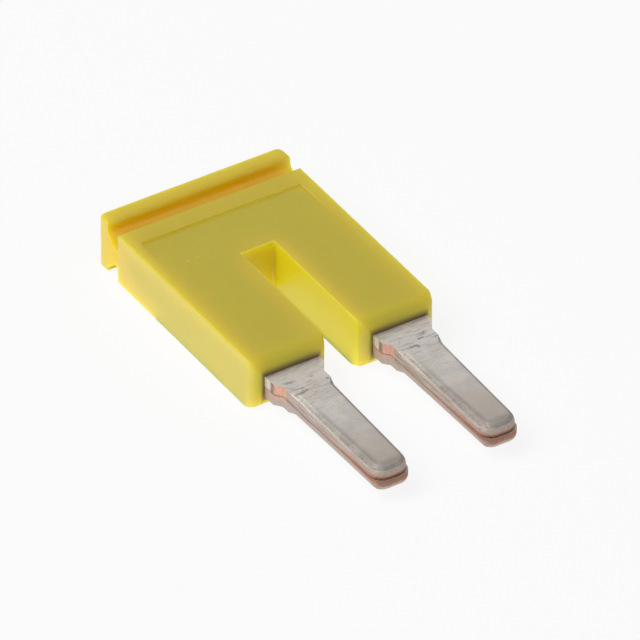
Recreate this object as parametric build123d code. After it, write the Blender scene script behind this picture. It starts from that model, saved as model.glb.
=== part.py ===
"""Plug-in shorting bar with two poles, for rail-mounted terminal blocks. Sizes are in millimetres.

The bar lies flat: X runs across the poles, the pins point towards -Y, and Z is the thickness.
The origin is on the table, under the middle of the bar.
"""

import os

from build123d import *

os.makedirs("parts", exist_ok=True)

# Poles. The pitch is that of the terminal blocks which the bar joins.
pole_count = 2
pole_pitch = 6.2

# Moulded body.
leg_width = 4.35
body_thickness = 2.92
block_length = 12.45  # from the pull groove to the legs' front faces
slot_depth = 8.0  # the open slot between two legs
slot_corner_radius = 0.1
leg_nose_radius = 0.82  # upper and lower front edges of the legs
leg_corner_radius = 0.65  # upright front edges of the legs
long_edge_radius = 0.09

# Head rail, and the pull groove that runs across both broad faces in front of it.
rail_depth = 0.92
rail_rise = 0.15  # the rail's upper face stands this far over the block's
rail_corner_radius = 0.35  # upright rear edges
rail_end_radius = 0.2  # long edges of the rail's two ends
rail_rear_radius = 0.16
rail_front_radius = 0.3
groove_width = 0.93
groove_wall_depth = 0.4  # the groove's upright wall under the rail
groove_depth = 0.95
groove_floor_run = 0.33  # the level floor beside the block, before it slopes up to the rail
groove_foot_radius = 0.12
groove_curve_radius = 0.3
block_rear_radius = 0.08

# Shallow marker field on the upper face: deepest at its rear edge, running out forwards.
field_rear_margin = 1.1
field_side_margin = 0.7
field_length = 3.0
field_depth = 0.09
field_foot_radius = 0.05

# Contact comb: one tinned copper strip, folded back flat on itself.
leaf_thickness = 0.6
leaf_slit = 0.03  # what the fold leaves between the two leaves
pin_length = 9.32  # from the legs' front faces to the lower leaf's tip
upper_leaf_setback = 0.1  # the upper leaf ends this far before the lower one
root_width = 3.1
root_shift = 0.05  # the root lies this far to the right of its blade
shoulder_length_left = 0.76  # the root's straight side, outside the body
shoulder_length_right = 0.4
shoulder_corner_radius = 0.12
flank_length_left = 0.36  # along the pin, from the shoulder to the blade
flank_length_right = 0.6
flank_fillet_radius = 0.25
blade_width = 2.38
tip_width = 1.98
coined_start = 1.62  # the blade's edges are pressed round, and it narrows, from here on
coined_edge_radius = 0.4
upper_corner_radius = 0.75  # the tip's corners in plan
lower_corner_radius = 0.62
upper_nose_radius = 0.45  # the tip's front edges
lower_nose_radius = 0.17
tip_gap = 0.09  # the sprung leaves stand this far apart at the tips
spread_start = 4.6  # where the leaves begin to part
spread_end = 8.2
spine_depth = 2.6  # the hidden back that joins the pins
spine_rear_wall = 0.85  # plastic between the spine's fold and the pull groove
comb_clearance = 0.02  # between the comb's edges and the plastic round them

body_width = pole_pitch * (pole_count - 1) + leg_width
body_length = rail_depth + groove_width + block_length
slot_width = pole_pitch - leg_width
comb_thickness = 2 * leaf_thickness + leaf_slit
tip_thickness = 2 * leaf_thickness + tip_gap

rear_y = (body_length + pin_length) / 2
rail_front_y = rear_y - rail_depth
block_rear_y = rail_front_y - groove_width
front_y = block_rear_y - block_length
tip_y = front_y - pin_length
upper_tip_y = tip_y + upper_leaf_setback
spine_rear_y = block_rear_y - spine_rear_wall
spine_front_y = spine_rear_y - spine_depth
coined_y = front_y - coined_start
spread_start_y = front_y - spread_start
spread_end_y = front_y - spread_end
middle_z = body_thickness / 2

pin_places = [(index - (pole_count - 1) / 2) * pole_pitch for index in range(pole_count)]
slot_places = [(index - (pole_count - 2) / 2) * pole_pitch for index in range(pole_count - 1)]


def face_of(corners):
    """The face inside a closed outline, whose corners are given as (first, second, radius)."""
    points = [corner[:2] for corner in corners]
    radii = [corner[2] for corner in corners]
    return make_face(FilletPolyline(*points, radius=radii, close=True))


def side_profile(upper, lower):
    """A side profile whose corners are (y, height over or under the middle plane, radius).

    Both lists run from front to rear.
    """
    turned = [(y, -height, radius) for y, height, radius in reversed(lower)]
    return Plane.YZ * Pos(0, middle_z) * face_of(upper + turned)


def block_between(low_y, high_y, width, x=0.0):
    """A plain rectangle in plan, from low_y to high_y and centred on x."""
    return Pos(x, (low_y + high_y) / 2) * Rectangle(width, high_y - low_y)


def body_edge(rise):
    """One broad face of the body in side view, with a rail that stands proud of it by rise."""
    half = body_thickness / 2
    return [
        (front_y, half, leg_nose_radius),
        (block_rear_y, half, block_rear_radius),
        (block_rear_y, half - groove_depth, groove_foot_radius),
        (block_rear_y + groove_floor_run, half - groove_depth, groove_curve_radius),
        (rail_front_y, half - groove_wall_depth, groove_curve_radius),
        (rail_front_y, half + rise, rail_front_radius),
        (rear_y, half + rise, rail_rear_radius),
    ]


def bar_between(low_y, high_y, height, radius):
    """A bar as wide as the body, from the table up, with its four long edges rounded."""
    section = Pos(0, height / 2) * RectangleRounded(body_width, height, radius)
    return extrude(Plane.XZ.offset(-high_y) * section, high_y - low_y)


def moulding():
    """The body before the comb's pocket and the marker field: three crossed outlines in one."""
    rail_height = body_thickness + rail_rise
    plan = block_between(front_y, rear_y, body_width)
    for x in slot_places:
        plan -= block_between(front_y, front_y + slot_depth, slot_width, x)
    corners = plan.vertices().group_by(Axis.Y)
    plan = fillet(corners[1], slot_corner_radius)
    plan = fillet(plan.vertices().group_by(Axis.Y)[-1], rail_corner_radius)
    plan = fillet(plan.vertices().group_by(Axis.Y)[0], leg_corner_radius)
    seen_from_side = extrude(side_profile(body_edge(rail_rise), body_edge(0)), body_width / 2, both=True)
    seen_from_above = extrude(plan, rail_height)
    groove_y = block_rear_y + groove_floor_run
    seen_from_behind = bar_between(front_y, groove_y, body_thickness, long_edge_radius)
    seen_from_behind += bar_between(groove_y, rear_y, rail_height, rail_end_radius)
    return seen_from_side & seen_from_above & seen_from_behind


def marker_field():
    """The wedge that the marker field takes out of the upper face."""
    top = body_thickness
    field_rear_y = block_rear_y - field_rear_margin
    wedge = face_of([
        (field_rear_y - field_length, top, 0),
        (field_rear_y, top + field_depth, 0),
        (field_rear_y, top - field_depth, field_foot_radius),
    ])
    width = body_width - 2 * field_side_margin
    return extrude(Plane.YZ * wedge, width / 2, both=True)


def comb_back(grow=0.0):
    """The spine and the pins' straight roots, as far as the legs' front faces.

    grow widens every edge, for the pocket that the comb sits in.
    """
    spine_width = pole_pitch * (pole_count - 1) + root_width + 2 * grow
    plan = block_between(spine_front_y - grow, spine_rear_y + grow, spine_width, root_shift)
    for x in pin_places:
        plan += block_between(front_y, spine_front_y, root_width + 2 * grow, x + root_shift)
    edge = [
        (front_y, comb_thickness / 2, 0),
        (spine_rear_y + grow, comb_thickness / 2, leaf_thickness),
    ]
    return extrude(plan, body_thickness) & extrude(side_profile(edge, edge), body_width, both=True)


def leaf_parting():
    """The slit that the fold leaves between the two leaves, inside the body."""
    edge = [
        (front_y, leaf_slit / 2, 0),
        (spine_rear_y - leaf_thickness, leaf_slit / 2, 0),
    ]
    return extrude(side_profile(edge, edge), body_width, both=True)


def blade_width_at(y):
    """The blade keeps its width as far as coined_y, and then narrows evenly to its tip."""
    return blade_width + (tip_width - blade_width) * (coined_y - y) / (coined_y - tip_y)


def leaf_plan(x, end_y, corner_radius):
    """One leaf of a pin in plan, from the leg's front face to end_y, its blade centred on x."""
    left_shoulder_y = front_y - shoulder_length_left
    right_shoulder_y = front_y - shoulder_length_right
    root_left = root_shift - root_width / 2
    root_right = root_shift + root_width / 2
    blade = blade_width / 2
    end = blade_width_at(end_y) / 2
    return Pos(x, 0) * face_of([
        (root_left, front_y, 0),
        (root_left, left_shoulder_y, shoulder_corner_radius),
        (-blade, left_shoulder_y - flank_length_left, flank_fillet_radius),
        (-blade, coined_y, 0),
        (-end, end_y, corner_radius),
        (end, end_y, corner_radius),
        (blade, coined_y, 0),
        (blade, right_shoulder_y - flank_length_right, flank_fillet_radius),
        (root_right, right_shoulder_y, shoulder_corner_radius),
        (root_right, front_y, 0),
    ])


def pressed_bar(x):
    """The blade's outside where its long edges are pressed round: it narrows and thickens."""
    stations = [
        (coined_y, comb_thickness),
        (spread_start_y, comb_thickness),
        (spread_end_y, tip_thickness),
        (tip_y, tip_thickness),
    ]
    sections = [
        Plane.XZ.offset(-y)
        * Pos(x, middle_z)
        * RectangleRounded(blade_width_at(y), thickness, coined_edge_radius)
        for y, thickness in stations
    ]
    return loft(sections, ruled=True)


def leaf(x, side, end_y, corner_radius, nose_radius):
    """One leaf of a pin outside the body. The side is 1 for the upper leaf, -1 for the lower."""
    band = [
        (end_y, tip_gap / 2, 0),
        (end_y, tip_thickness / 2, nose_radius),
        (spread_end_y, tip_thickness / 2, 0),
        (spread_start_y, comb_thickness / 2, 0),
        (front_y, comb_thickness / 2, 0),
        (front_y, leaf_slit / 2, 0),
        (spread_start_y, leaf_slit / 2, 0),
        (spread_end_y, tip_gap / 2, 0),
    ]
    profile = face_of([(y, side * height, radius) for y, height, radius in band])
    flat = extrude(leaf_plan(x, end_y, corner_radius), body_thickness)
    flat &= extrude(Plane.YZ * Pos(0, middle_z) * profile, body_width, both=True)
    root_cutter = extrude(block_between(coined_y, front_y, root_width * 2, x), body_thickness)
    return (flat & root_cutter) + (flat & pressed_bar(x))


def contact_comb():
    """The folded strip: spine, roots and pins, parted into two leaves in front of the fold."""
    comb = comb_back() - leaf_parting()
    for x in pin_places:
        comb += leaf(x, 1, upper_tip_y, upper_corner_radius, upper_nose_radius)
        comb += leaf(x, -1, tip_y, lower_corner_radius, lower_nose_radius)
    return comb


def insulating_body():
    """The yellow moulding, closed round the comb's spine and open at the legs' front faces."""
    return moulding() - comb_back(comb_clearance) - marker_field()


export_step(insulating_body(), "parts/insulating_body.step")
export_step(contact_comb(), "parts/contact_comb.step")
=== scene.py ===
import math

import bmesh
import bpy
from mathutils import Matrix, Vector


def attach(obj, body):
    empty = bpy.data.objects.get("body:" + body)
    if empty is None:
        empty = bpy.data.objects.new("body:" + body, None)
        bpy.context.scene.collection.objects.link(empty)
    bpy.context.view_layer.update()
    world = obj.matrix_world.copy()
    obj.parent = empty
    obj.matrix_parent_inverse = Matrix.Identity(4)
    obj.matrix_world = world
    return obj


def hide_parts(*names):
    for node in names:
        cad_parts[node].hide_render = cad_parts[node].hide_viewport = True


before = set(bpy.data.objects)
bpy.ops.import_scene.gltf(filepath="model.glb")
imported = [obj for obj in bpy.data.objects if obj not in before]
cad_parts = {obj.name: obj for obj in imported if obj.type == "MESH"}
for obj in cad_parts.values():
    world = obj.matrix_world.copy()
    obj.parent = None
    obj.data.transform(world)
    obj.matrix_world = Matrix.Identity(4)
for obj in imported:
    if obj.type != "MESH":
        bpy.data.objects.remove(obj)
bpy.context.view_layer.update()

# Insulating body: one yellow polyamide moulding, injected round the comb's back. Its edges come out
# of the mould slightly rounded, its skin is satin, and light enters it a little way.
mm = 0.001
same_place = 0.001 * mm
cut_tolerance = 0.0001 * mm
facet_sag = 0.02 * mm
flat_enough = 0.002
sharp_fold = math.radians(55)
moulded_edge = 0.012 * mm

body_thickness = 2.92 * mm
leg_front = -2.49 * mm
leg_half_width = 2.175 * mm
leg_nose_radius = 0.82 * mm
leg_corner_radius = 0.65 * mm
leg_corner_steps = 10
leg_corner_reach = 1.4 * mm
leg_corner_blend = 2.0
rail_front = 10.89 * mm
rail_rear = 11.81 * mm
rail_half_width = 5.275 * mm
rail_middle_height = 1.535 * mm
rail_corner_steps = 8
rail_corner_reach = 0.45 * mm
rail_corner_fall = 1.4
pin_spread = 6.2 * mm
root_half_width = 1.55 * mm
pin_half_thickness = 0.615 * mm
parting_height = 1.46 * mm


def merged_form(node_name):
    """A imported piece's mesh with its loose triangles merged into clean faces."""
    form = bmesh.new()
    form.from_mesh(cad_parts[node_name].data)
    bmesh.ops.remove_doubles(form, verts=form.verts, dist=same_place)
    bmesh.ops.dissolve_limit(form, angle_limit=flat_enough, verts=form.verts, edges=form.edges)
    return form


def cut_along(form, place, normal, wanted=lambda middle: True):
    """Cuts faces along a plane: all of them, or only those whose middles are wanted."""
    faces = [face for face in form.faces if wanted(face.calc_center_median())]
    edges = {edge for face in faces for edge in face.edges}
    verts = {vert for face in faces for vert in face.verts}
    geometry = [*faces, *edges, *verts]
    bmesh.ops.bisect_plane(form, geom=geometry, dist=cut_tolerance, plane_co=place, plane_no=normal)


def stepped_back(depth, radius):
    """How far a quarter round steps back at this depth from its edge."""
    rest = max(radius - max(depth, 0.0), 0.0)
    return radius - math.sqrt(radius * radius - rest * rest)


def round_depths(radius, count):
    """The depths at which even turns divide a quarter round."""
    turns = [math.radians(90 / count * step) for step in range(1, count + 1)]
    return [radius * (1 - math.cos(turn)) for turn in turns]


def both_sides_of_pins(off):
    """The four places that lie this far to the left and to the right of the two pins' middles."""
    return [pin + side * off for pin in (-pin_spread / 2, pin_spread / 2) for side in (-1, 1)]


def off_pin_middle(vert):
    """How far a point lies outwards of its own pin's middle."""
    return abs(vert.co.x) - pin_spread / 2


def in_leg_front(middle):
    """Whether a face lies in the legs' rounded front ends."""
    return middle.y < leg_front + leg_corner_reach


def roll_leg_corners(form):
    """Where a leg's nose meets its upright rounding, one runs into the other as in the mould."""
    cut_along(form, (0, leg_front + leg_corner_reach, 0), (0, 1, 0))
    nose_depths = round_depths(leg_nose_radius, leg_corner_steps)
    corner_depths = round_depths(leg_corner_radius, leg_corner_steps)
    for nose_depth, corner_depth in zip(nose_depths, corner_depths):
        for height in (nose_depth, body_thickness - nose_depth):
            cut_along(form, (0, 0, height), (0, 0, 1), in_leg_front)
        for across in both_sides_of_pins(leg_half_width - corner_depth):
            cut_along(form, (across, 0, 0), (1, 0, 0), in_leg_front)
    for vert in form.verts:
        back = vert.co.y - leg_front
        if back > leg_corner_reach:
            continue
        from_side = leg_half_width - abs(off_pin_middle(vert))
        from_face = min(vert.co.z, body_thickness - vert.co.z)
        nose = stepped_back(from_face, leg_nose_radius)
        corner = stepped_back(from_side, leg_corner_radius)
        plain = max(nose, corner)
        rolled = (nose ** leg_corner_blend + corner ** leg_corner_blend) ** (1 / leg_corner_blend)
        if abs(back - plain) < facet_sag:
            vert.co.y = leg_front + rolled
        elif back > plain:
            share = 1 - (back - plain) / (leg_corner_reach - plain)
            vert.co.y += (rolled - plain) * share * share * (3 - 2 * share)


def in_rail(middle):
    """Whether a face lies in the head rail."""
    return middle.y > rail_front


def roll_rail_corners(form):
    """The rail's broad faces fall off softly towards its two upright rear edges."""
    cut_along(form, (0, rail_front, 0), (0, 1, 0))
    for depth in round_depths(rail_corner_reach, rail_corner_steps):
        cut_along(form, (0, rail_rear - depth, 0), (0, 1, 0), in_rail)
        for side in (-1, 1):
            cut_along(form, (side * (rail_half_width - depth), 0, 0), (1, 0, 0), in_rail)
    for vert in form.verts:
        if vert.co.y <= rail_front + same_place:
            continue
        from_end = stepped_back(rail_half_width - abs(vert.co.x), rail_corner_reach)
        from_rear = stepped_back(rail_rear - vert.co.y, rail_corner_reach)
        fall = rail_corner_fall * from_end * from_rear / rail_corner_reach
        height = vert.co.z - rail_middle_height
        vert.co.z = rail_middle_height + height * (1 - fall / rail_middle_height)


def finished_piece(form, node_name, piece_name, edge_radius):
    """The form as a smooth piece with small roundings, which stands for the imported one."""
    mesh = bpy.data.meshes.new(piece_name)
    form.to_mesh(mesh)
    form.free()
    mesh.shade_smooth()
    mesh.set_sharp_from_angle(angle=sharp_fold)
    piece = bpy.data.objects.new(piece_name, mesh)
    bpy.context.scene.collection.objects.link(piece)
    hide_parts(node_name)
    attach(piece, "root")
    edge = piece.modifiers.new("rounded_edges", "BEVEL")
    edge.width = edge_radius
    edge.segments = 2
    edge.limit_method = "ANGLE"
    edge.angle_limit = sharp_fold
    shading = piece.modifiers.new("level_shading", "WEIGHTED_NORMAL")
    shading.keep_sharp = True
    shading.weight = 100
    return piece


def new_finish(name):
    """An empty procedural finish: its material, its node tree and its shader."""
    material = bpy.data.materials.new(name)
    material.use_nodes = True
    tree = material.node_tree
    return material, tree, tree.nodes["Principled BSDF"]


def own_place(tree):
    """The piece's own coordinates, in metres."""
    return tree.nodes.new("ShaderNodeTexCoord").outputs["Object"]


def facing(tree):
    """The direction that the surface faces."""
    return tree.nodes.new("ShaderNodeNewGeometry").outputs["Normal"]


def axes_of(tree, vector):
    """The three parts of a vector."""
    node = tree.nodes.new("ShaderNodeSeparateXYZ")
    tree.links.new(vector, node.inputs["Vector"])
    return node.outputs["X"], node.outputs["Y"], node.outputs["Z"]


def spots(tree, place, size, detail, stretch=(1, 1, 1)):
    """A cloudy pattern whose spots are about the given size, longer where stretch is."""
    mapping = tree.nodes.new("ShaderNodeMapping")
    mapping.inputs["Scale"].default_value = [1 / part for part in stretch]
    noise = tree.nodes.new("ShaderNodeTexNoise")
    noise.inputs["Scale"].default_value = 1 / size
    noise.inputs["Detail"].default_value = detail
    tree.links.new(place, mapping.inputs["Vector"])
    tree.links.new(mapping.outputs["Vector"], noise.inputs["Vector"])
    return noise.outputs["Fac"]


def counted(tree, kind, *values):
    """One sum on numbers. Each may be a number or a socket."""
    node = tree.nodes.new("ShaderNodeMath")
    node.operation = kind
    for socket, value in zip(node.inputs, values):
        if isinstance(value, (int, float)):
            socket.default_value = value
        else:
            tree.links.new(value, socket)
    return node.outputs["Value"]


def way(tree, start, end):
    """The way from one coordinate to another, in mm."""
    return counted(tree, "MULTIPLY", counted(tree, "SUBTRACT", end, start), 1 / mm)


def between(tree, value, low, high, to_low=0.0, to_high=1.0):
    """The value carried smoothly from one range to another, and kept inside it."""
    node = tree.nodes.new("ShaderNodeMapRange")
    node.interpolation_type = "SMOOTHSTEP"
    node.inputs["From Min"].default_value = low
    node.inputs["From Max"].default_value = high
    node.inputs["To Min"].default_value = to_low
    node.inputs["To Max"].default_value = to_high
    tree.links.new(value, node.inputs["Value"])
    return node.outputs["Result"]


def window(tree, value, low, high, fade):
    """One where the value lies between low and high, fading out on both sides."""
    rise = between(tree, value, low - fade, low + fade)
    fall = between(tree, value, high - fade, high + fade, 1.0, 0.0)
    return counted(tree, "MULTIPLY", rise, fall)


def all_of(tree, mask, *others):
    """Where all the masks hold. A number among them weakens the rest."""
    for other in others:
        mask = counted(tree, "MULTIPLY", mask, other)
    return mask


def layered(tree, colour, *layers):
    """A colour under layers, each a mask and its own colour. The last one lies on top."""
    for mask, coat in layers:
        node = tree.nodes.new("ShaderNodeMix")
        node.data_type = "RGBA"
        tree.links.new(mask, node.inputs["Factor"])
        sockets = [socket for socket in node.inputs if socket.type == "RGBA"]
        for socket, value in zip(sockets, (colour, coat)):
            if isinstance(value, tuple):
                socket.default_value = (*value, 1)
            else:
                tree.links.new(value, socket)
        colour = next(socket for socket in node.outputs if socket.type == "RGBA")
    return colour


def relief(tree, *patterns):
    """The surface raised by patterns, each with its depth."""
    normal = None
    for pattern, depth in patterns:
        node = tree.nodes.new("ShaderNodeBump")
        node.inputs["Distance"].default_value = depth
        tree.links.new(pattern, node.inputs["Height"])
        if normal is not None:
            tree.links.new(normal, node.inputs["Normal"])
        normal = node.outputs["Normal"]
    return normal


def beside_pin(tree, x):
    """How far a place lies from its own pin's middle, in mm."""
    return counted(tree, "ABSOLUTE", way(tree, pin_spread / 2, counted(tree, "ABSOLUTE", x)))


yellow = (0.66, 0.515, 0.010)
yellow_worn = (0.64, 0.495, 0.014)
# Painted sheen: a paler yellow on the walls that face sideways.
yellow_painted_sheen = (0.69, 0.52, 0.070)
# Painted bounce light: a deeper, warmer yellow in the groove.
yellow_painted_bounce = (0.74, 0.52, 0.002)
# Painted glow: the slot's walls brighter than the light that reaches them.
yellow_glowing = (0.86, 0.66, 0.006)
yellow_scuffed = (0.80, 0.66, 0.12)
# Painted shade over and beside each pin's root.
yellow_shadowed = (0.28, 0.165, 0.012)
turned_sideways = (0.5, 0.95)
# Where the yellow changes, in mm, counted from the legs' front faces, the middle, the table or the
# pins. A pair is where a change starts and where it is full. Three are a stretch and its fade.
groove_run = (12.45, 13.38, 0.08)
groove_over_pin = (0.80, 0.60)
slot_walls = (1.02, 0.95)
slot_run = (8.15, 8.05)
scuff_run = (8.87, 8.95, 0.04)
scuff_across = (-3.70, -2.25, 0.12)
scuff_height = (2.70, 2.80)
mouth_run = (0.45, 0.05)
mouth_spread = (0.42, 0.06)

mouth_narrowing = 2.2
scuff_strength = 0.5
satin_roughness = (0.36, 0.46)
sink_depth = 0.012 * mm
skin_depth = 0.0018 * mm
light_entry = 3.0 * mm
# What a pattern of spots mostly spans.
spots_span = (0.3, 0.7)


def yellow_polyamide():
    """Satin yellow plastic, with a painted sheen on its sideways walls, painted bounce light in the
    groove, a painted glow in the slot and painted shade where the pins enter.
    """
    material, tree, shader = new_finish("yellow_polyamide")
    place = own_place(tree)
    x, y, z = axes_of(tree, place)
    facing_side = counted(tree, "ABSOLUTE", axes_of(tree, facing(tree))[0])
    clouds = spots(tree, place, 3.5 * mm, detail=2)
    sink = spots(tree, place, 2.4 * mm, detail=1)
    skin = spots(tree, place, 0.12 * mm, detail=3)
    scratches = spots(tree, place, 0.35 * mm, detail=3)

    behind_front = way(tree, leg_front, y)
    off_middle = way(tree, 0.0, counted(tree, "ABSOLUTE", x))
    off_parting = counted(tree, "ABSOLUTE", counted(tree, "SUBTRACT", z, parting_height))
    over_pin = way(tree, pin_half_thickness, off_parting)
    off_root = counted(tree, "SUBTRACT", beside_pin(tree, x), root_half_width / mm)
    off_root = counted(tree, "MULTIPLY", off_root, mouth_narrowing)
    off_mouth = counted(tree, "MAXIMUM", over_pin, off_root)

    groove = all_of(
        tree,
        window(tree, behind_front, *groove_run),
        between(tree, over_pin, *groove_over_pin),
    )
    slot = all_of(
        tree,
        between(tree, off_middle, *slot_walls),
        between(tree, behind_front, *slot_run),
    )
    scuff = all_of(
        tree,
        window(tree, behind_front, *scuff_run),
        window(tree, way(tree, 0.0, x), *scuff_across),
        between(tree, way(tree, 0.0, z), *scuff_height),
        between(tree, scratches, 0.46, 0.54),
        scuff_strength,
    )
    mouth = all_of(
        tree,
        between(tree, behind_front, *mouth_run),
        between(tree, off_mouth, *mouth_spread),
    )
    colour = layered(
        tree,
        yellow,
        (clouds, yellow_worn),
        (between(tree, facing_side, *turned_sideways), yellow_painted_sheen),
        (groove, yellow_painted_bounce),
        (slot, yellow_glowing),
        (scuff, yellow_scuffed),
        (mouth, yellow_shadowed),
    )
    bumps = relief(tree, (sink, sink_depth), (skin, skin_depth))
    tree.links.new(colour, shader.inputs["Base Color"])
    tree.links.new(bumps, shader.inputs["Normal"])
    roughness = between(tree, skin, *spots_span, *satin_roughness)
    tree.links.new(roughness, shader.inputs["Roughness"])
    shader.inputs["IOR"].default_value = 1.53
    shader.inputs["Subsurface Weight"].default_value = 1.0
    shader.inputs["Subsurface Radius"].default_value = (1.0, 0.7, 0.1)
    shader.inputs["Subsurface Scale"].default_value = light_entry
    return material


body_form = merged_form("insulating_body")
roll_leg_corners(body_form)
roll_rail_corners(body_form)
body = finished_piece(body_form, "insulating_body", "moulded_body", moulded_edge)
body.data.materials.append(yellow_polyamide())

# Contact comb: one tinned copper strip, blanked as a comb, folded flat and coined along its blades.
# The broad faces keep their dull tin. The blanked sides show copper through a thin smear of tin,
# and the coined edges are dark: the real rolled edge, deepened with painted shade and painted dark
# reflection.
trimmed_edge = 0.015 * mm
welded = 0.002 * mm
blade_half_width = 1.19 * mm
tip_half_width = 0.99 * mm
tip_half_height = 0.645 * mm
lower_tip = -11.81 * mm
upper_tip = -11.71 * mm
lower_corner, lower_rim = 0.62 * mm, 0.30 * mm
upper_corner, upper_rim = 0.75 * mm, 0.42 * mm
tip_reach = 1.0 * mm
tip_step = 0.07 * mm
tip_steps = 12
coined_from = 1.62 * mm
coined_full = 2.1 * mm
coined_radius = 0.4 * mm
coined_cuts = (1.75 * mm, 1.9 * mm, coined_full)
blade_length = leg_front - coined_from - lower_tip
sprung_from = 4.6 * mm
sprung_gap = 0.05 * mm
spring_back = 0.2


def blade_half_width_at(y):
    """The blade keeps its width up to where it is coined, and then narrows evenly."""
    share = min(max((leg_front - coined_from - y) / blade_length, 0.0), 1.0)
    return blade_half_width + (tip_half_width - blade_half_width) * share


def in_pins(middle):
    """Whether a face lies outside the body."""
    return middle.y < leg_front


def fade_in_coining(form):
    """The press bites in gradually: the blade's rounded edges grow out of square ones."""
    for cut in coined_cuts:
        cut_along(form, (0, leg_front - cut, 0), (0, 1, 0), in_pins)
    for vert in form.verts:
        along = leg_front - vert.co.y
        if not coined_from - facet_sag / 4 < along < coined_full:
            continue
        off_pin = off_pin_middle(vert)
        off_parting = vert.co.z - parting_height
        half_width = blade_half_width_at(vert.co.y)
        from_side = half_width - abs(off_pin)
        from_face = pin_half_thickness - abs(off_parting)
        if max(from_side, from_face) < coined_radius + facet_sag / 2:
            share = max((along - coined_from) / (coined_full - coined_from), 0.0)
            side = math.copysign(half_width - from_side * share, off_pin) + pin_spread / 2
            rise = math.copysign(pin_half_thickness - from_face * share, off_parting)
            vert.co.x = math.copysign(side, vert.co.x)
            vert.co.z = parting_height + rise
    bmesh.ops.remove_doubles(form, verts=form.verts, dist=welded)


def in_pin_tips(middle):
    """Whether a face lies in the last stretch of the pins."""
    return middle.y < lower_tip + tip_reach


def roll_pin_tips(form):
    """The press rounds each leaf's rim evenly all the way round its tip."""
    cut_along(form, (0, lower_tip + tip_reach, 0), (0, 1, 0))
    for step in range(1, tip_steps + 1):
        depth = tip_step * step
        cut_along(form, (0, lower_tip + depth, 0), (0, 1, 0), in_pin_tips)
        for across in both_sides_of_pins(tip_half_width - depth):
            cut_along(form, (across, 0, 0), (1, 0, 0), in_pin_tips)
    for vert in form.verts:
        if not in_pin_tips(vert.co):
            continue
        off_parting = vert.co.z - parting_height
        tip, corner, rim = lower_tip, lower_corner, lower_rim
        if off_parting > 0:
            tip, corner, rim = upper_tip, upper_corner, upper_rim
        from_side = blade_half_width_at(vert.co.y) - abs(off_pin_middle(vert))
        from_tip = vert.co.y - tip
        inside = min(from_side, from_tip)
        if max(from_side, from_tip) < corner:
            inside = corner - math.hypot(corner - from_side, corner - from_tip)
        room = tip_half_height - stepped_back(inside, rim)
        if abs(off_parting) > room:
            vert.co.z = parting_height + math.copysign(room, off_parting)
    bmesh.ops.remove_doubles(form, verts=form.verts, dist=welded)


def press_leaves_together(form):
    """The bar lies free, with its leaves a little closer than the block's spring leaves them."""
    for vert in form.verts:
        off_parting = vert.co.z - parting_height
        if vert.co.y < leg_front - sprung_from and abs(off_parting) < sprung_gap:
            vert.co.z = parting_height + off_parting * spring_back


tin = (0.66, 0.62, 0.575)
tin_cool = (0.58, 0.555, 0.535)
tin_beige = (0.61, 0.56, 0.49)
tin_pale = (0.78, 0.75, 0.70)
# Painted sheen: brighter, bluish tin near the root.
tin_painted_sheen = (0.74, 0.72, 0.72)
tin_worn = (0.41, 0.36, 0.305)
tin_marked = (0.22, 0.20, 0.19)
# The real rolled edge darkened with painted shade and painted dark reflection.
tin_rolled_and_painted_shade = (0.26, 0.235, 0.215)
smeared = (0.55, 0.475, 0.425)
smeared_grey = (0.40, 0.34, 0.30)
copper = (0.56, 0.29, 0.20)
copper_bright = (0.80, 0.47, 0.35)
copper_brown = (0.33, 0.17, 0.115)
# Where the metal changes along a pin, in mm from the leg's front face. A pair is where a change
# starts and where it is full. Three are a stretch and its fade.
root_tinned = (0.50, 0.46)
root_sheen_run = (2.6, 0.4)
shoulder_scorched = (0.52, 0.76, 0.05)
flank_bare = (0.80, 1.42, 0.06)
flank_end = (1.42, 1.36)
scar_run = (0.95, 2.3, 0.2)
drawn_run = (5.0, 1.2)
edge_shade_run = (1.9, 4.5)
worn_run = (3.0, 9.2)
tip_shade_run = (8.35, 8.90)
tip_front = (8.6, 9.0)
short_of_tip = (8.9, 8.6)
bare_run = (1.5, 9.0)
copper_run = (3.6, 9.0)
browned_run = (2.0, 8.5)
# The same across the pin, in mm: in from the blade's edge, and to the right of the pin's middle.
edge_shade_width = (0.62, 0.30)
left_half = (0.0, -0.3)
# The same over the parting between the two leaves, in mm.
upper_face = (-0.05, 0.05)
upper_leaf_side = (-0.03, 0.03)
lower_leaf_side = (-0.10, -0.28)
under_parting = (-0.24, -0.02, 0.04)
upper_leaf_worn = (0.12, 0.26)
tip_front_brown = (-0.36, 0.12, 0.05)
lower_rim_pale = (-0.28, -0.42)
# How far copper shows over and under the parting, in mm, at the root and at the tip. Its edge is
# ragged, and the changes at it are counted outwards from there.
copper_reach = (0.02, 0.26)
ragged_by = (-0.08, 0.08)
copper_edge = (0.05, -0.08)
copper_browned = (-0.04, -0.24)
# How far a face is turned to the right, to the rear, and upwards or downwards: one is fully.
turned_left = (0.1, -0.2)
turned_front = (-0.5, -0.8)
bare_level = (0.70, 0.52)
edge_level = (0.998, 0.93)

tin_roughness = (0.40, 0.56)
edge_roughness = 0.22
cloud_depth = 0.010 * mm
drawn_depth = 0.004 * mm
fine_depth = 0.004 * mm


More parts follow.
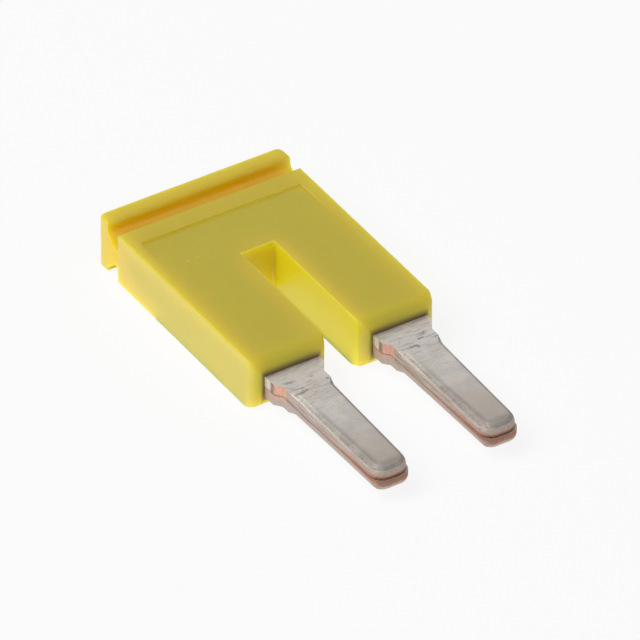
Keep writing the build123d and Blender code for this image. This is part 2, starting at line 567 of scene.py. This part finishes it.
def broad_face(tree, place, along, cloud, fine, drawn):
    """Dull tin, cloudy and drawn across, with press scars and a painted sheen at the root, and worn
    grey at the tip.
    """
    patch = spots(tree, place, 2.4 * mm, detail=3)
    scars = spots(tree, place, 0.20 * mm, detail=5, stretch=(2.2, 1, 1))
    lines = all_of(
        tree,
        between(tree, along, *drawn_run, 0.12, 1.0),
        between(tree, drawn, 0.52, 0.70, 0.0, 0.5),
    )
    scarred = all_of(
        tree,
        window(tree, along, *scar_run),
        between(tree, scars, 0.57, 0.68, 0.0, 0.8),
    )
    return layered(
        tree,
        tin,
        (between(tree, cloud, 0.38, 0.60), tin_cool),
        (between(tree, patch, 0.44, 0.62, 0.0, 0.8), tin_beige),
        (between(tree, fine, 0.48, 0.74, 0.0, 0.45), tin_worn),
        (between(tree, along, *worn_run, 0.0, 0.75), tin_worn),
        (between(tree, along, *root_sheen_run, 0.0, 0.55), tin_painted_sheen),
        (lines, tin_marked),
        (scarred, tin_marked),
    )


def rolled_edge_and_painted_shade(tree, x, along, height, level, edge_turn, cloud):
    """The upper leaf's dark edge, where the press turned it, deepened with painted shade and
    painted dark reflection: wider on the left and at the tip.
    """
    on_turn = between(tree, edge_turn, 0.01, 0.07)
    blade_run = (coined_from / mm, (leg_front - lower_tip) / mm)
    blade_edge = between(tree, along, *blade_run, blade_half_width / mm, tip_half_width / mm)
    inside_edge = counted(tree, "SUBTRACT", blade_edge, beside_pin(tree, x))
    pin_middle = counted(tree, "MULTIPLY", counted(tree, "SIGN", x), pin_spread / 2)
    left_shade = all_of(
        tree,
        between(tree, inside_edge, *edge_shade_width),
        between(tree, along, *edge_shade_run),
        between(tree, way(tree, pin_middle, x), *left_half),
    )
    shade = counted(tree, "MAXIMUM", left_shade, between(tree, along, *tip_shade_run))
    coined = all_of(tree, on_turn, between(tree, level, 0.999, 0.88))
    return all_of(
        tree,
        counted(tree, "MAXIMUM", coined, all_of(tree, shade, on_turn, 0.75)),
        between(tree, cloud, *spots_span, 0.62, 0.92),
        between(tree, height, *upper_face),
    )


def blanked_side(tree, place, along, height, cloud, fine):
    """Streaky smeared tin over copper, which lies bare and scorched at the root; at the tip it is
    brown copper with painted shade round the parting.
    """
    facing_x, facing_y = axes_of(tree, facing(tree))[:2]
    to_left = between(tree, facing_x, *turned_left)
    to_front = between(tree, facing_y, *turned_front)
    streaks = spots(tree, place, 0.06 * mm, detail=3, stretch=(1, 26, 1))
    upright = spots(tree, place, 0.08 * mm, detail=3, stretch=(1, 1, 6))

    ragged = between(tree, streaks, *spots_span, *ragged_by)
    depth = counted(tree, "ADD", counted(tree, "ABSOLUTE", height), ragged)
    bare_copper = between(tree, along, *copper_run, *copper_reach)
    past_copper = counted(tree, "SUBTRACT", depth, bare_copper)
    browned = all_of(
        tree,
        between(tree, past_copper, *copper_browned),
        between(tree, along, *browned_run, 0.5, 0.9),
    )
    lower_leaf = all_of(
        tree,
        between(tree, height, *lower_leaf_side),
        between(tree, along, *short_of_tip, 0.0, 0.8),
    )
    lower_flank = all_of(
        tree,
        window(tree, height, *under_parting),
        between(tree, along, *flank_end),
        to_left,
        between(tree, upright, 0.3, 0.6, 0.9, 0.4),
    )
    upper_left = all_of(tree, to_left, between(tree, height, *upper_leaf_side))
    upper_flank = all_of(
        tree,
        window(tree, along, *flank_bare),
        upper_left,
        between(tree, upright, 0.35, 0.6, 1.0, 0.45),
    )
    scorched = all_of(
        tree,
        window(tree, along, *shoulder_scorched),
        upper_left,
        between(tree, upright, 0.3, 0.6, 0.75, 0.35),
    )
    root_side = all_of(
        tree,
        between(tree, along, *root_tinned, 0.0, 0.85),
        between(tree, height, *upper_leaf_side),
    )
    at_tip = all_of(tree, to_front, between(tree, along, *tip_front))
    worn_tip = all_of(tree, at_tip, between(tree, height, *upper_leaf_worn, 0.0, 0.8))
    # Brown copper and dirt round the parting at the tip front, with painted shade of the slit
    # between the leaves.
    tip_copper_and_painted_shade = all_of(
        tree,
        at_tip,
        window(tree, height, *tip_front_brown),
        between(tree, fine, 0.35, 0.65, 0.9, 0.45),
    )
    pale_rim = all_of(
        tree,
        at_tip,
        between(tree, height, *lower_rim_pale, 0.0, 0.9),
        between(tree, cloud, 0.40, 0.55, 0.45, 1.0),
    )
    return layered(
        tree,
        smeared,
        (between(tree, streaks, 0.42, 0.64), smeared_grey),
        (between(tree, upright, 0.56, 0.72, 0.0, 0.45), copper),
        (between(tree, past_copper, *copper_edge, 0.0, 0.75), copper),
        (browned, copper_brown),
        (lower_leaf, smeared),
        (lower_flank, copper_bright),
        (upper_flank, copper_bright),
        (scorched, copper_brown),
        (root_side, tin_pale),
        (worn_tip, tin_worn),
        (tip_copper_and_painted_shade, copper_brown),
        (pale_rim, smeared),
    )


def tinned_copper():
    """Dull tin on the broad faces, a dark band along their edges that is partly painted shade and
    dark reflection, and bare blanked sides.
    """
    material, tree, shader = new_finish("tinned_copper")
    place = own_place(tree)
    x, y, z = axes_of(tree, place)
    level = counted(tree, "ABSOLUTE", axes_of(tree, facing(tree))[2])
    along = way(tree, y, leg_front)
    height = way(tree, parting_height, z)
    cloud = spots(tree, place, 0.9 * mm, detail=5)
    fine = spots(tree, place, 0.11 * mm, detail=3)
    drawn = spots(tree, place, 0.10 * mm, detail=4, stretch=(8, 1, 1))

    bare_below = between(tree, along, *bare_run, *bare_level)
    edge_turn = counted(tree, "SUBTRACT", level, bare_below)
    band = rolled_edge_and_painted_shade(tree, x, along, height, level, edge_turn, cloud)
    side = blanked_side(tree, place, along, height, cloud, fine)
    colour = layered(
        tree,
        broad_face(tree, place, along, cloud, fine, drawn),
        (band, tin_rolled_and_painted_shade),
        (between(tree, edge_turn, 0.03, -0.05), side),
    )
    grain = between(tree, fine, *spots_span, *tin_roughness)
    at_edge = between(tree, level, *edge_level, 0.0, edge_roughness)
    roughness = counted(tree, "ADD", grain, at_edge)
    bumps = relief(tree, (cloud, cloud_depth), (drawn, drawn_depth), (fine, fine_depth))
    tree.links.new(colour, shader.inputs["Base Color"])
    tree.links.new(bumps, shader.inputs["Normal"])
    tree.links.new(roughness, shader.inputs["Roughness"])
    shader.inputs["Metallic"].default_value = 1.0
    return material


comb_form = merged_form("contact_comb")
fade_in_coining(comb_form)
roll_pin_tips(comb_form)
press_leaves_together(comb_form)
comb = finished_piece(comb_form, "contact_comb", "folded_comb", trimmed_edge)
comb.data.materials.append(tinned_copper())

# Table: one sheet of plain white paper under the bar, lit from below like a light table.
# It shows as white, with a trace of the bar's shadow.
paper_reach = 1.5
paper_white = 0.88
shadow_share = 0.12
glow_shown = 1.0
glow_from_below = 1.3

sheet_form = bmesh.new()
bmesh.ops.create_grid(sheet_form, x_segments=1, y_segments=1, size=paper_reach)
table_mesh = bpy.data.meshes.new("paper_table")
sheet_form.to_mesh(table_mesh)
sheet_form.free()
table = bpy.data.objects.new("paper_table", table_mesh)
bpy.context.scene.collection.objects.link(table)

paper = bpy.data.materials.new("white_paper")
paper.use_nodes = True
paper_tree = paper.node_tree
paper_tree.nodes.clear()
matt = paper_tree.nodes.new("ShaderNodeBsdfDiffuse")
matt.inputs["Color"].default_value = (paper_white, paper_white, paper_white, 1)
glow = paper_tree.nodes.new("ShaderNodeEmission")
glow.inputs["Color"].default_value = (1, 1, 1, 1)


def shown(tree, when_shown, otherwise):
    """One value for what is seen, also in a gloss or through glass, and one for other light."""
    rays = tree.nodes.new("ShaderNodeLightPath")
    seen = counted(tree, "MAXIMUM", rays.outputs["Is Camera Ray"], rays.outputs["Is Glossy Ray"])
    seen = counted(tree, "MAXIMUM", seen, rays.outputs["Is Transmission Ray"])
    return between(tree, seen, 0, 1, otherwise, when_shown)


paper_blend = paper_tree.nodes.new("ShaderNodeMixShader")
paper_out = paper_tree.nodes.new("ShaderNodeOutputMaterial")
glow_strength = shown(paper_tree, glow_shown, glow_from_below)
glow_share = shown(paper_tree, 1.0 - shadow_share, 1.0)
paper_tree.links.new(glow_strength, glow.inputs["Strength"])
paper_tree.links.new(glow_share, paper_blend.inputs["Fac"])
paper_tree.links.new(matt.outputs["BSDF"], paper_blend.inputs[1])
paper_tree.links.new(glow.outputs["Emission"], paper_blend.inputs[2])
paper_tree.links.new(paper_blend.outputs["Shader"], paper_out.inputs["Surface"])
table.data.materials.append(paper)

# Light tent: an even white sky round the table, which shows as white and lights the bar only a
# little, and one large soft lamp high on the left.
sky_shown = 1.0
sky_level = 0.20
softbox_place = Vector((-0.34, 0.02, 0.495))
softbox_size = 0.40
softbox_power = 2.95

sky = bpy.data.worlds.new("light_tent")
sky.use_nodes = True
sky_tree = sky.node_tree
sky_tree.nodes.clear()
sky_light = sky_tree.nodes.new("ShaderNodeBackground")
sky_out = sky_tree.nodes.new("ShaderNodeOutputWorld")
sky_tree.links.new(shown(sky_tree, sky_shown, sky_level), sky_light.inputs["Strength"])
sky_tree.links.new(sky_light.outputs["Background"], sky_out.inputs["Surface"])
bpy.context.scene.world = sky

softbox = bpy.data.lights.new("left_softbox", "AREA")
softbox.shape = "SQUARE"
softbox.size = softbox_size
softbox.energy = softbox_power
lamp = bpy.data.objects.new("left_softbox", softbox)
lamp.location = softbox_place
lamp.rotation_mode = "QUATERNION"
lamp.rotation_quaternion = softbox_place.to_track_quat("Z", "Y")
bpy.context.scene.collection.objects.link(lamp)

# Camera: a long lens high over the bar's left front corner, at the photo's angle. It was fitted to
# the body's straight edges.
view_azimuth = math.radians(32.569)
view_elevation = math.radians(37.298)
view_roll = math.radians(0.361)
view_distance = 582.34 * mm
view_aim = Vector((0.250, 0.215, 1.801)) * mm
lens_length = 675.0
sensor_width = 36.0
nearest_seen, farthest_seen = 0.01, 10.0

away = Vector((
    -math.sin(view_azimuth) * math.cos(view_elevation),
    -math.cos(view_azimuth) * math.cos(view_elevation),
    math.sin(view_elevation),
))
camera_data = bpy.data.cameras.new("camera")
camera_data.sensor_width = sensor_width
camera_data.lens = lens_length
camera_data.clip_start = nearest_seen
camera_data.clip_end = farthest_seen
camera = bpy.data.objects.new("camera", camera_data)
bpy.context.scene.collection.objects.link(camera)
turned = away.to_track_quat("Z", "Y").to_matrix().to_4x4() @ Matrix.Rotation(view_roll, 4, "Z")
camera.matrix_world = Matrix.Translation(view_aim + away * view_distance) @ turned
bpy.context.scene.camera = camera
bpy.context.scene.view_settings.view_transform = "Standard"
